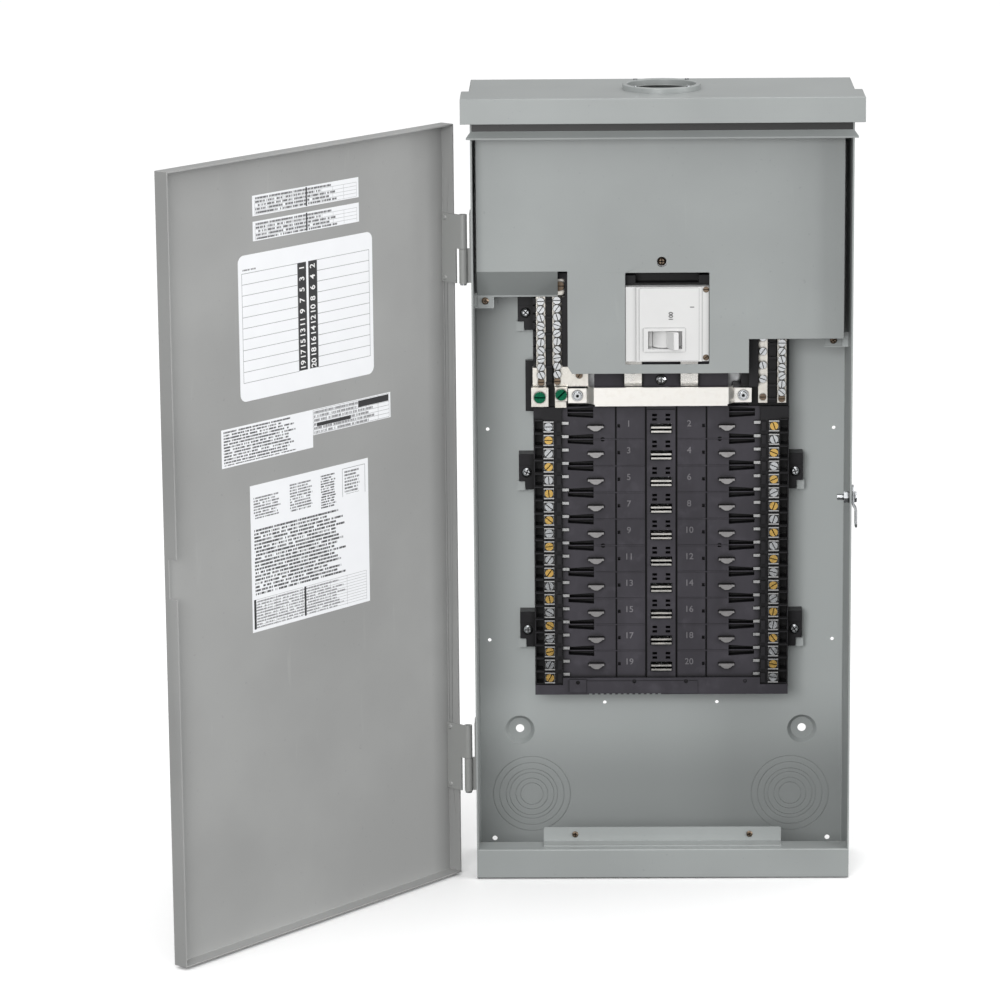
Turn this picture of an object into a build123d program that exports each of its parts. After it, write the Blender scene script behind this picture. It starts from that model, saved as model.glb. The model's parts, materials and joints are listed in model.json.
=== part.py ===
from build123d import *
import os
from math import cos, radians, sin

# Outdoor residential load center: a sheet-steel box with a rain hood and a door hinged on its left,
# a 100 A main breaker behind a deadfront, and a 20-space interior on a steel pan.
# Millimetres, +Z up. The box faces -Y and hangs on a wall at Y = 0; the origin is the centre of the
# four wall-mounting holes.

os.makedirs("parts", exist_ok=True)

UPWARD = (Align.CENTER, Align.CENTER, Align.MIN)
INWARD = (Align.CENTER, Align.CENTER, Align.MAX)

# ---- driving dimensions -------------------------------------------------------------------------
BOX_W = 347.0            # outside width of the box
BOX_H = 738.0            # bottom of the box to the top of the hood
BOX_D = 100.0            # front plane to the outside of the back wall
STANDOFF = 5.0           # how far the mounting bosses hold the back wall off the building
SHEET = 1.5              # box steel
HALF_W = BOX_W / 2
INNER = HALF_W - SHEET   # inside face of a side wall
FRONT = BOX_D + STANDOFF # front plane to the building's wall
MIDDLE = BOX_H / 2       # height of the origin above the box's bottom edge

WALL_HOLES_X = 268.0     # wall-mounting holes, across
WALL_HOLES_Z = 505.0     # and up
WALL_HOLE_R = 4.0

HOOD_TOP = 1.5           # hood sheet
HOOD_SKIRT = 1.2
HOOD_OUT = 30.0          # overhang in front of the box
HOOD_SIDE = 8.0          # overhang beside the box
HOOD_DROP = 23.0         # height of the front skirt
EAR_BACK = 22.0          # how far back the wide part of the hood reaches
HUB_D = 32.6             # hub centre behind the front plane
HUB_R = 31.0             # clear opening of the hub
LIP_H = 28.0             # front lip at the bottom of the box
LIP_BACK = 24.0          # depth of the lip's flat return

DOOR_ANGLE = 130.3       # how far the door stands open at rest
DOOR_W = 364.0
DOOR_LOW = 1.7           # door edges above the box's bottom edge
DOOR_HIGH = 709.5
DOOR_T = 1.5
DOOR_FLANGE = 14.6       # depth of the door pan
HINGE_X = -HALF_W - 7.3  # hinge axis
HINGE_D = 9.0            # behind the front plane
DOOR_EDGE = 0.6          # hinge axis to the door's hinge-side face
DOOR_SKIN = -24.3        # hinge axis to the door's outside face
HINGE_TALL = 63.5
HINGE_LOWS = {"lower": 83.0, "upper": 564.0}
KNUCKLE_R = 3.7
LEAF_T = 1.6
PIN_R = 2.0
PIN_PLAY = 0.05

ROW_PITCH = 25.4         # one breaker space
ROWS = 10
ROW_TOP = 418.7          # height of the first row's centre
BASE_FACE = 65.0         # interior's front face behind the front plane
BASE_BACK = 80.0
BASE_HALF = 92.5         # half width of the black base between the terminal blocks
BLOCK_HALF = 118.6       # half width over the terminal blocks
BASE_HIGH = 437.0
BASE_LOW = ROW_TOP - ROW_PITCH * (ROWS - 0.5)
TERMINAL_X = 104.7       # branch terminal screws
CLAMP_FACE = 63.5
PAN_FACE = 86.0
FOOT_X = 125.4
FOOT_HEIGHTS = (218.4, 370.5, 522.6)

COVER_FACE = 22.0        # deadfront's front face
COVER_T = 1.2
COVER_LEFT = 169.2       # reach to the left
COVER_RIGHT = 166.5      # and to the right
COVER_HIGH = 693.6       # top edge
COVER_LOW = 508.3        # lower edge of the right-hand part
SKIRT_HIGH = 572.0       # where the left-hand skirt starts to slope back
RETURN_D = 34.0          # back of the folded returns
LEDGE_D = 46.0           # ledges that take the deadfront's screws
WINDOW = (-33.5, 43.4, 485.1, 570.4)
COVER_SCREW_H = 580.4

TOGGLE_X = 3.0           # toggle pivot
TOGGLE_D = 36.0
TOGGLE_R = 12.8
TOGGLE_LEAN = 24.0       # degrees from straight ahead, at rest
TOGGLE_H = (500.2, 515.9)

LATCH_D = 17.0           # hasp bolt behind the front plane
LATCH_H = 361.0
BOLT_R = 3.0

rows = [ROW_TOP - ROW_PITCH * i for i in range(ROWS)]
row_edges = [h - ROW_PITCH / 2 for h in rows]


# ---- helpers ------------------------------------------------------------------------------------
def back(behind):
    """Y of a point that lies a distance behind the box's front plane."""
    return behind - FRONT


def up(height):
    """Z of a point at a height above the box's bottom edge."""
    return height - MIDDLE


def face(behind):
    """Plane seen from the front: its x is X, its y is Z, and it faces the room."""
    return Plane.XZ.offset(-back(behind))


def level(height):
    """Flat plane at a height above the box's bottom edge."""
    return Plane.XY.offset(up(height))


def side(x):
    """Plane across the box at an x: its x is Y, its y is Z."""
    return Plane.YZ.offset(x)


def block(x, behind, height, mode=Mode.ADD):
    """A block between (low, high) pairs: x, distance behind the front plane, and height."""
    middle = (sum(x) / 2, back(sum(behind) / 2), up(sum(height) / 2))
    with Locations(middle):
        Box(x[1] - x[0], behind[1] - behind[0], height[1] - height[0], mode=mode)


def both(x):
    """A (low, high) pair on the right and the same pair mirrored to the left."""
    return [x, (-x[1], -x[0])]


def spots(points, behind, turn=0.0):
    """One plane per (x, height) point, facing the room, each turned a little more than the last."""
    return [
        Plane(
            origin=(x, back(behind), up(h)),
            x_dir=(cos(radians(turn * i)), 0, sin(radians(turn * i))),
            z_dir=(0, -1, 0),
        )
        for i, (x, h) in enumerate(points)
    ]


def slotted_screws(places, head_r, head_h, shank_r, shank, slot):
    """Screws with a slotted head, seated with the underside of the head on each plane."""
    with Locations(*places):
        Cylinder(head_r, head_h, align=UPWARD)
        Cylinder(shank_r, shank, align=INWARD)
        with Locations((0, 0, head_h / 2)):
            Box(2 * head_r + 1, slot, head_h, align=UPWARD, mode=Mode.SUBTRACT)


def cross_screws(places, head_r, head_h, shank_r, shank, slot):
    """Screws with a domed head and a cross recess."""
    with Locations(*places):
        Cylinder(head_r, head_h * 0.6, align=UPWARD)
        Cylinder(shank_r, shank, align=INWARD)
        with Locations((0, 0, head_h * 0.6)):
            Cone(head_r, head_r * 0.6, head_h * 0.4, align=UPWARD)
        with Locations((0, 0, head_h * 0.4)):
            Box(head_r * 1.3, slot, head_h, align=UPWARD, mode=Mode.SUBTRACT)
            Box(slot, head_r * 1.3, head_h, align=UPWARD, mode=Mode.SUBTRACT)


def keep(piece, node):
    """Label a finished sub-part and write it as a node."""
    piece.part.label = node
    export_step(piece.part, f"parts/{node}.step")


# ---- box body: back and sides in one folded sheet -----------------------------------------------
KNOCKOUT_RINGS = (37.2, 31.2, 25.0, 21.5, 15.7, 11.1)
SMALL_KNOCKOUT_RINGS = (17.5, 14.1, 11.1)
KNOCKOUTS = ((-123.0, 53.4), (123.0, 53.4))
GROOVE = 0.8
TIE_HOLES = ((-53.2, 143.3), (53.2, 143.3), (-162, 409), (162, 409), (-162, 204.8), (162, 204.8))
DRAIN_HOLES = ((-158.7, 9.0), (158.7, 9.0))
LEDGE_SCREWS = ((-162, 541.2), (158, 502.8))


def knockout_grooves(rings):
    """Concentric grooves in a sketch, from the widest ring to the narrowest."""
    for ring in rings:
        Circle(ring)
        Circle(ring - GROOVE, mode=Mode.SUBTRACT)


def make_box_body():
    inside_back = BOX_D - SHEET
    with BuildPart() as body:
        with BuildSketch(level(0)):
            with Locations((0, back(BOX_D / 2))):
                Rectangle(BOX_W, BOX_D)
            with Locations((0, back(inside_back / 2 - 1))):
                Rectangle(2 * INNER, inside_back + 2, mode=Mode.SUBTRACT)
        extrude(amount=BOX_H - HOOD_TOP)
        corners = body.edges().filter_by(Axis.Z).group_by(Axis.Y)[-1]
        fillet(corners, 2.5)
        # the bottom end's front sheet runs across the front edges of both side walls
        for x in both((INNER, HALF_W)):
            block(x, (0, SHEET), (0, LIP_H), Mode.SUBTRACT)
        # dished bosses round the four wall-mounting holes
        bosses = [
            Plane(origin=(x, back(inside_back), z), z_dir=(0, 1, 0))
            for x in (-WALL_HOLES_X / 2, WALL_HOLES_X / 2)
            for z in (-WALL_HOLES_Z / 2, WALL_HOLES_Z / 2)
        ]
        with Locations(*bosses):
            Cone(15.5, 12, STANDOFF + SHEET, align=UPWARD)
            Cone(14, 10.5, STANDOFF, align=UPWARD, mode=Mode.SUBTRACT)
            Cylinder(WALL_HOLE_R, STANDOFF + SHEET, align=UPWARD, mode=Mode.SUBTRACT)
        # concentric knockout grooves, small fixing holes and drain holes in the back wall
        with BuildSketch(face(inside_back)):
            with Locations(*[(x, up(h)) for x, h in KNOCKOUTS]):
                knockout_grooves(KNOCKOUT_RINGS)
        extrude(amount=-GROOVE, mode=Mode.SUBTRACT)
        with BuildSketch(face(BOX_D)):
            with Locations(*[(x, up(h)) for x, h in TIE_HOLES]):
                Circle(1.7)
            with Locations(*[(x, up(h)) for x, h in DRAIN_HOLES]):
                Circle(2.4)
        extrude(amount=SHEET, mode=Mode.SUBTRACT)
        # side-wall knockouts, outside face
        for x, inward in ((HALF_W, -GROOVE), (-HALF_W, GROOVE)):
            with BuildSketch(side(x)):
                with Locations((back(58), up(45)), (back(58), up(660))):
                    knockout_grooves(SMALL_KNOCKOUT_RINGS)
            extrude(amount=inward, mode=Mode.SUBTRACT)
        # lanced tabs that hook the interior's feet, and ledges that take the deadfront's screws
        for foot in FOOT_HEIGHTS:
            for x in both((127.2, 134.4)):
                block(x, (90, inside_back), (foot - 18.4, foot - 16.9))
                block(x, (90, 91.5), (foot - 18.4, foot - 9))
        block((-INNER, -154), (LEDGE_D, LEDGE_D + SHEET), (534, 548))
        block((150, INNER), (LEDGE_D, LEDGE_D + SHEET), (496, 510))
        with Locations(*spots(LEDGE_SCREWS, LEDGE_D)):
            Cylinder(1.8, 8, mode=Mode.SUBTRACT)
        with Locations(Plane(origin=(HALF_W, back(LATCH_D), up(LATCH_H)), z_dir=(1, 0, 0))):
            Cylinder(BOLT_R + 0.2, 8, mode=Mode.SUBTRACT)
    keep(body, "box_body")


def make_bottom_end():
    with BuildPart() as floor:
        with BuildSketch(side(-INNER)):
            with BuildLine():
                Polyline(
                    (back(0), up(0)),
                    (back(BOX_D - SHEET), up(0)),
                    (back(BOX_D - SHEET), up(SHEET)),
                    (back(SHEET), up(SHEET)),
                    (back(SHEET), up(LIP_H - SHEET)),
                    (back(LIP_BACK), up(LIP_H - SHEET)),
                    (back(LIP_BACK), up(LIP_H)),
                    (back(0), up(LIP_H)),
                    close=True,
                )
            make_face()
        extrude(amount=2 * INNER)
        block((-HALF_W, HALF_W), (0, SHEET), (0, LIP_H))
        with BuildSketch(level(SHEET)):
            with Locations((-90, back(60)), (0, back(60)), (90, back(60))):
                knockout_grooves(SMALL_KNOCKOUT_RINGS)
        extrude(amount=-GROOVE, mode=Mode.SUBTRACT)
        front_edges = floor.edges().filter_by(Axis.X).group_by(Axis.Y)[0]
        fillet(front_edges, 1.2)
    keep(floor, "bottom_end")


def make_floor_bracket():
    half, rise = 111.2, 42.6
    with BuildPart() as bracket:
        block((-half, half), (23, 24.2), (LIP_H, rise))
        block((-half, half), (9, 24.2), (LIP_H, LIP_H + 1.2))
        with Locations(*spots(((-81.7, 35.8), (81.7, 35.8)), 23)):
            Cylinder(1.9, 6, mode=Mode.SUBTRACT)
        free_corners = bracket.edges().filter_by(Axis.Y).group_by(Axis.Z)[-1]
        fillet(free_corners, 1.5)
    keep(bracket, "floor_bracket")
    with BuildPart() as screws:
        cross_screws(spots(((-81.7, 35.8), (81.7, 35.8)), 23, 20), 2.9, 1.6, 1.8, 6, 0.8)
    keep(screws, "bracket_screws")


# ---- hood, header and hub -----------------------------------------------------------------------
def make_rain_hood():
    wide = HALF_W + HOOD_SIDE
    snug = HALF_W + HOOD_SKIRT
    low = BOX_H - HOOD_DROP
    with BuildPart() as hood:
        block((-wide, wide), (-HOOD_OUT, EAR_BACK), (BOX_H - HOOD_TOP, BOX_H))
        block((-snug, snug), (EAR_BACK, BOX_D + HOOD_SKIRT), (BOX_H - HOOD_TOP, BOX_H))
        block((-wide, wide), (-HOOD_OUT, HOOD_SKIRT - HOOD_OUT), (low, BOX_H))
        block((-snug, snug), (BOX_D, BOX_D + HOOD_SKIRT), (low, BOX_H))
        for x in both((wide - HOOD_SKIRT, wide)):
            block(x, (-HOOD_OUT, EAR_BACK), (low, BOX_H))
        for x in both((HALF_W, wide)):
            block(x, (EAR_BACK - HOOD_SKIRT, EAR_BACK), (low, BOX_H))
        for x in both((HALF_W, snug)):
            block(x, (EAR_BACK, BOX_D + HOOD_SKIRT), (low, BOX_H))
        with Locations((0, back(HUB_D), up(BOX_H))):
            Cylinder(HUB_R, 10, mode=Mode.SUBTRACT)
        top_rim = hood.edges().filter_by(GeomType.LINE).group_by(Axis.Z)[-1]
        fillet(top_rim, 1.0)
    keep(hood, "rain_hood")


def make_top_header():
    lip_top, lip_low, lip_out = 704.0, 697.3, 4.5
    top_half, low_half = 173.0, 177.0
    plate_low = 697.0
    with BuildPart() as header:
        block((-INNER, INNER), (0, SHEET), (plate_low, BOX_H - HOOD_TOP))
        with BuildSketch(side(-low_half)):
            with BuildLine():
                Polyline(
                    (back(0), up(lip_top)),
                    (back(-lip_out), up(lip_low + 1.5)),
                    (back(-lip_out), up(lip_low)),
                    (back(1 - lip_out), up(lip_low)),
                    (back(0), up(lip_top - 1.8)),
                    close=True,
                )
            make_face()
        extrude(amount=2 * low_half)
        # ends of the lip, cut on a slant from the top corner down to the lower edge
        with BuildSketch(face(-lip_out - 1)):
            for sign in (1, -1):
                with BuildLine():
                    Polyline(
                        (sign * top_half, up(lip_top)),
                        (sign * low_half, up(lip_low + 1.5)),
                        (sign * (low_half + 1), up(lip_low + 1.5)),
                        (sign * (low_half + 1), up(lip_top + 1)),
                        (sign * top_half, up(lip_top + 1)),
                        close=True,
                    )
                make_face()
        extrude(amount=-(lip_out + 1), mode=Mode.SUBTRACT)
    keep(header, "top_header")


def make_hub():
    collar_h, collar_out, screw_ring = 5.0, 35.6, 33.3
    with BuildPart() as collar:
        with BuildSketch(level(BOX_H)):
            with Locations((0, back(HUB_D))):
                Circle(collar_out)
                Circle(HUB_R, mode=Mode.SUBTRACT)
        extrude(amount=collar_h)
        rim = collar.edges().group_by(Axis.Z)[-1]
        fillet(rim, 1.2)
        with Locations((0, back(HUB_D), up(BOX_H + collar_h))):
            with PolarLocations(screw_ring, 4, start_angle=45):
                Cylinder(1.3, 2 * collar_h - 2, mode=Mode.SUBTRACT)
    keep(collar, "hub_collar")
    with BuildPart() as screws:
        with Locations((0, back(HUB_D), up(BOX_H + collar_h))):
            with PolarLocations(screw_ring, 4, start_angle=45):
                Cylinder(1.25, collar_h - 1, align=INWARD)
                Cylinder(1.9, 0.9, align=UPWARD)
                with Locations((0, 0, 0.5)):
                    Box(4, 0.5, 1, align=UPWARD, mode=Mode.SUBTRACT)
    keep(screws, "hub_screws")


# ---- hinges -------------------------------------------------------------------------------------
DOOR = Plane(
    origin=(HINGE_X, back(HINGE_D), 0),
    x_dir=(cos(radians(-DOOR_ANGLE)), sin(radians(-DOOR_ANGLE)), 0),
    z_dir=(0, 0, 1),
)
DOOR_INSIDE = Plane(
    origin=DOOR.from_local_coords((0, DOOR_SKIN + DOOR_T, 0)),
    x_dir=-DOOR.x_dir,
    z_dir=DOOR.y_dir,
)


def make_hinge(name, low):
    """A lift-off hinge: the lower knuckle belongs to the box, the upper one to the door."""
    split = low + HINGE_TALL / 2
    inner_r = PIN_R + PIN_PLAY
    with BuildPart() as box_leaf:
        block((-HALF_W - LEAF_T, -HALF_W), (HINGE_D + KNUCKLE_R - LEAF_T, 36), (low, low + HINGE_TALL))
        web_back = HINGE_D + KNUCKLE_R
        block((HINGE_X, -HALF_W), (web_back - LEAF_T, web_back), (low, split))
        with Locations((HINGE_X, back(HINGE_D), up(low))):
            Cylinder(KNUCKLE_R, HINGE_TALL / 2, align=UPWARD)
            Cylinder(inner_r, HINGE_TALL / 2, align=UPWARD, mode=Mode.SUBTRACT)
    keep(box_leaf, f"hinge_{name}_box_leaf")

    with BuildPart() as door_leaf:
        with BuildSketch(DOOR.offset(up(low))):
            with Locations((KNUCKLE_R - LEAF_T / 2, -14.2)):
                Rectangle(LEAF_T, 17)
        extrude(amount=HINGE_TALL)
        with BuildSketch(DOOR.offset(up(split + 0.3))):
            with Locations((KNUCKLE_R - LEAF_T / 2, -8)):
                Rectangle(LEAF_T, 16)
            Circle(KNUCKLE_R)
            Circle(inner_r, mode=Mode.SUBTRACT)
        extrude(amount=HINGE_TALL / 2 - 0.3)
        for near in (4, HINGE_TALL - 4):
            spot = DOOR.from_local_coords((0, -19.5, up(low + near)))
            with Locations(Plane(origin=spot, z_dir=DOOR.x_dir)):
                Cylinder(1.6, 8, align=UPWARD, mode=Mode.SUBTRACT)
    keep(door_leaf, f"hinge_{name}_door_leaf")

    with BuildPart() as pin:
        with Locations((HINGE_X, back(HINGE_D), up(low))):
            Cylinder(PIN_R, HINGE_TALL - 1, align=UPWARD)
            Cylinder(3.0, 1.6, align=INWARD)
    keep(pin, f"hinge_{name}_pin")


def make_door_rivets():
    """Two rivets through each door leaf into the door's hinge-side flange."""
    with BuildPart() as rivets:
        for low in HINGE_LOWS.values():
            for near in (4, HINGE_TALL - 4):
                seat = DOOR.from_local_coords((DOOR_EDGE, -19.5, up(low + near)))
                with Locations(Plane(origin=seat, z_dir=DOOR.x_dir)):
                    Cylinder(1.5, KNUCKLE_R - DOOR_EDGE, align=UPWARD)
                    with Locations((0, 0, KNUCKLE_R - DOOR_EDGE)):
                        Cone(2.6, 1.6, 0.9, align=UPWARD)
                    Cone(1.6, 2.6, 0.5, align=INWARD)
    keep(rivets, "hinge_rivets")


# ---- door ---------------------------------------------------------------------------------------
def make_door_pan():
    tall = DOOR_HIGH - DOOR_LOW
    with BuildPart() as pan:
        with BuildSketch(DOOR.offset(up(DOOR_LOW))):
            with Locations((DOOR_EDGE + DOOR_W / 2, DOOR_SKIN + DOOR_FLANGE / 2)):
                Rectangle(DOOR_W, DOOR_FLANGE)
        extrude(amount=tall)
        with BuildSketch(DOOR.offset(up(DOOR_LOW + DOOR_T))):
            with Locations((DOOR_EDGE + DOOR_W / 2, DOOR_SKIN + DOOR_T + DOOR_FLANGE / 2)):
                Rectangle(DOOR_W - 2 * DOOR_T, DOOR_FLANGE)
        extrude(amount=tall - 2 * DOOR_T, mode=Mode.SUBTRACT)
        # padlock notch in the free flange, beside the hasp
        with BuildSketch(DOOR.offset(up(336))):
            with Locations((DOOR_EDGE + DOOR_W, DOOR_SKIN + DOOR_FLANGE)):
                Rectangle(8, 19)
        extrude(amount=35.5, mode=Mode.SUBTRACT)
        # rivet holes in the hinge-side flange
        for low in HINGE_LOWS.values():
            for near in (4, HINGE_TALL - 4):
                spot = DOOR.from_local_coords((DOOR_EDGE - 1, -19.5, up(low + near)))
                with Locations(Plane(origin=spot, z_dir=DOOR.x_dir)):
                    Cylinder(1.6, 4, align=UPWARD, mode=Mode.SUBTRACT)
                    Cone(2.7, 1.6, 1.55, align=UPWARD, mode=Mode.SUBTRACT)
    keep(pan, "door_pan")


LABEL_T = 0.2


def make_label(node, left, right, low, high, corner=0.0):
    """A printed sticker on the door's inside face, from its distances from the hinge-side edge."""
    with BuildPart() as label:
        with BuildSketch(DOOR_INSIDE):
            with Locations((-DOOR_EDGE - (left + right) / 2, up((low + high) / 2))):
                if corner:
                    RectangleRounded(right - left, high - low, corner)
                else:
                    Rectangle(right - left, high - low)
        extrude(amount=LABEL_T)
    keep(label, node)


def make_labels():
    with BuildPart() as tables:
        with BuildSketch(DOOR_INSIDE):
            for low, high in ((655.4, 673.5), (633.4, 650.6)):
                with Locations((-DOOR_EDGE - 180.5, up((low + high) / 2))):
                    Rectangle(135.1, high - low)
        extrude(amount=LABEL_T)
    keep(tables, "wire_table_labels")
    make_label("circuit_directory", 96.4, 267.5, 493.0, 622.5, 7)
    make_label("instruction_sheet", 106.3, 258.4, 283.3, 416.5)
    with BuildPart() as ratings:
        with BuildSketch(DOOR_INSIDE):
            with Locations((-DOOR_EDGE - (75.2 + 292.5) / 2, up((449 + 472.3) / 2))):
                Rectangle(292.5 - 75.2, 472.3 - 449)
            with Locations((-DOOR_EDGE - (177.2 + 292.5) / 2, up((438 + 450) / 2))):
                Rectangle(292.5 - 177.2, 450 - 438)
        extrude(amount=LABEL_T)
    keep(ratings, "ratings_label")


# ---- deadfront ----------------------------------------------------------------------------------
def make_deadfront():
    inside = COVER_FACE + COVER_T
    with BuildPart() as cover:
        with BuildSketch(face(inside)):
            with BuildLine():
                Polyline(
                    (-COVER_LEFT, up(COVER_HIGH)),
                    (COVER_RIGHT, up(COVER_HIGH)),
                    (COVER_RIGHT, up(COVER_LOW)),
                    (79.7, up(COVER_LOW)),
                    (79.7, up(476.6)),
                    (-82.3, up(476.6)),
                    (-86.3, up(483.2)),
                    (-86.3, up(SKIRT_HIGH)),
                    (-COVER_LEFT, up(SKIRT_HIGH)),
                    close=True,
                )
            make_face()
            with Locations(((WINDOW[0] + WINDOW[1]) / 2, up((WINDOW[2] + WINDOW[3]) / 2))):
                RectangleRounded(WINDOW[1] - WINDOW[0], WINDOW[3] - WINDOW[2], 1.2, mode=Mode.SUBTRACT)
            with Locations((0, up(COVER_SCREW_H))):
                Circle(4.7, mode=Mode.SUBTRACT)
        extrude(amount=COVER_T)
        # returns along the top, the sides and the right-hand lower edge
        block((-COVER_LEFT, COVER_RIGHT), (COVER_FACE, RETURN_D), (COVER_HIGH - COVER_T, COVER_HIGH))
        block((-COVER_LEFT, COVER_T - COVER_LEFT), (COVER_FACE, RETURN_D), (SKIRT_HIGH, COVER_HIGH))
        block((COVER_RIGHT - COVER_T, COVER_RIGHT), (COVER_FACE, RETURN_D), (COVER_LOW, COVER_HIGH))
        block((118, COVER_RIGHT), (COVER_FACE, LEDGE_D), (COVER_LOW, COVER_LOW + COVER_T))
        block((150, 166), (LEDGE_D - COVER_T, LEDGE_D), (497, 509))
        # sloping skirt over the left-hand wires, ending in a screw flange
        with BuildSketch(side(-COVER_LEFT)):
            with BuildLine():
                Polyline(
                    (back(COVER_FACE), up(SKIRT_HIGH + COVER_T)),
                    (back(COVER_FACE), up(SKIRT_HIGH)),
                    (back(LEDGE_D - COVER_T), up(546.2)),
                    (back(LEDGE_D - COVER_T), up(544.6)),
                    (back(LEDGE_D), up(544.6)),
                    (back(LEDGE_D), up(546.5)),
                    (back(inside), up(SKIRT_HIGH + 0.6)),
                    (back(inside), up(SKIRT_HIGH + COVER_T)),
                    close=True,
                )
            make_face()
        extrude(amount=COVER_LEFT - 95.2)
        block((-COVER_LEFT, -155), (LEDGE_D - COVER_T, LEDGE_D), (535, 545))
        with Locations(*spots(LEDGE_SCREWS, LEDGE_D)):
            Cylinder(2.0, 3, mode=Mode.SUBTRACT)
    keep(cover, "deadfront_cover")

    with BuildPart() as screws:
        cross_screws(spots(((0, COVER_SCREW_H),), 27), 3.9, 2.6, 1.9, 8, 1.0)
        cross_screws(spots(LEDGE_SCREWS, LEDGE_D - COVER_T, 30), 3.3, 2.2, 1.7, 6, 1.0)
    keep(screws, "deadfront_screws")


# ---- main breaker -------------------------------------------------------------------------------
BREAKER_X = (-33.1, 43.0)
BREAKER_H = (487.7, 557.0)
BREAKER_SCREWS = ((40.4, 554.2), (40.4, 491.0))


def make_breaker():
    slot_x = (-12.6, 18.6)
    with BuildPart() as cover:
        block(BREAKER_X, (24, 34), BREAKER_H)
        block((-23.3, 36.5), (22.4, 24), BREAKER_H)
        block((-20.4, 33.8), (21.6, 22.4), (BREAKER_H[0] + 1, BREAKER_H[1] - 1))
        block((-16.8, 21.4), (20.6, 21.6), (497.1, 519.1))
        with Locations((TOGGLE_X, back(TOGGLE_D), up(508))):
            Cylinder(TOGGLE_R + 0.6, 16.6, mode=Mode.SUBTRACT)
        block(slot_x, (18, 30), (499.7, 516.3), Mode.SUBTRACT)
        with Locations(*spots(BREAKER_SCREWS, 24)):
            Cylinder(2.9, 3, mode=Mode.SUBTRACT)
            Cylinder(1.5, 30, mode=Mode.SUBTRACT)
    keep(cover, "breaker_cover")

    with BuildPart() as base:
        block((-36.5, 46.5), (34, 83), (486.5, 559))
        block((-36.5, -24), (34, 60), (559, 566))
        block((34, 46.5), (34, 60), (559, 566))
        # black shroud behind the window, above the body
        block((-36.5, 46.5), (46, 50), (559, 574.4))
        with Locations((TOGGLE_X, back(TOGGLE_D), up(508))):
            Cylinder(TOGGLE_R + 0.6, 16.6, mode=Mode.SUBTRACT)
        with Locations(*spots(BREAKER_SCREWS, 34)):
            Cylinder(1.5, 20, mode=Mode.SUBTRACT)
        for x in both((17.7, 34.3)):
            block(x, (59.8, 63.2), (480, 501), Mode.SUBTRACT)
        upright = base.edges().filter_by(Axis.Y).group_by(Axis.Z)[0]
        fillet(upright, 1.0)
    keep(base, "breaker_base")

    lean = Plane(
        origin=(TOGGLE_X, back(TOGGLE_D), up(TOGGLE_H[0])),
        x_dir=(cos(radians(TOGGLE_LEAN)), sin(radians(TOGGLE_LEAN)), 0),
        z_dir=(0, 0, 1),
    )
    with BuildPart() as toggle:
        with BuildSketch(lean):
            Circle(TOGGLE_R)
            with BuildLine():
                Polyline((-4.2, -10), (-2.4, -24.5), (2.4, -24.5), (4.2, -10), close=True)
            make_face()
        extrude(amount=TOGGLE_H[1] - TOGGLE_H[0])
        tip = toggle.edges().filter_by(Axis.Z).group_by(Axis.Y)[0]
        fillet(tip, 0.8)
    keep(toggle, "breaker_toggle")

    with BuildPart() as screws:
        slotted_screws(spots(BREAKER_SCREWS, 25.5, 40), 2.7, 1.3, 1.4, 18, 0.7)
    keep(screws, "breaker_cover_screws")

    with BuildPart() as lugs:
        for x in (-14, 24):
            block((x - 8, x + 8), (52, 72), (559, 580))
        with Locations(*spots(((-14, 569), (24, 569)), 52)):
            Cylinder(4.6, 8, mode=Mode.SUBTRACT)
        with Locations((-14, back(64.5), up(580)), (24, back(64.5), up(580))):
            Cylinder(5.5, 30, mode=Mode.SUBTRACT)
    keep(lugs, "breaker_line_lugs")

    with BuildPart() as lug_screws:
        slotted_screws(spots(((-14, 569), (24, 569)), 53, 70), 4.4, 2, 4.0, 3, 1.2)
    keep(lug_screws, "breaker_lug_screws")

    with BuildPart() as straps:
        for x in both((18, 34)):
            block(x, (60, 63), (459, 500.5))
            block(x, (60, BASE_BACK), (457, 460))
        with Locations(*spots(((-26, 473), (26, 473)), 60)):
            Cylinder(2.0, 8, mode=Mode.SUBTRACT)
    keep(straps, "breaker_load_straps")

    with BuildPart() as load_screws:
        cross_screws(spots(((-26, 473), (26, 473)), 60, 25), 3.8, 2.2, 1.9, 5, 1.0)
        cross_screws(spots(((0, 462.2),), 66, 25), 4.4, 2.4, 2.0, 12, 1.1)
    keep(load_screws, "breaker_strap_screws")


# ---- interior: pan, base, buses, hooks ----------------------------------------------------------
def make_interior_pan():
    with BuildPart() as pan:
        block((-BLOCK_HALF, BLOCK_HALF), (PAN_FACE, PAN_FACE + 2), (165, 566))
        block((-30, 30), (PAN_FACE, PAN_FACE + 2), (566, 600))
        for x in both((BLOCK_HALF - 2, BLOCK_HALF)):
            block(x, (PAN_FACE + 2, 96), (165, 566))
        with Locations(Plane(origin=(0, back(PAN_FACE), up(COVER_SCREW_H)), z_dir=(0, -1, 0))):
            Cylinder(5, PAN_FACE - 27, align=UPWARD)
            with Locations((0, 0, PAN_FACE - 27)):
                Cylinder(2.0, 12, align=INWARD, mode=Mode.SUBTRACT)
    keep(pan, "interior_pan")


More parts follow.
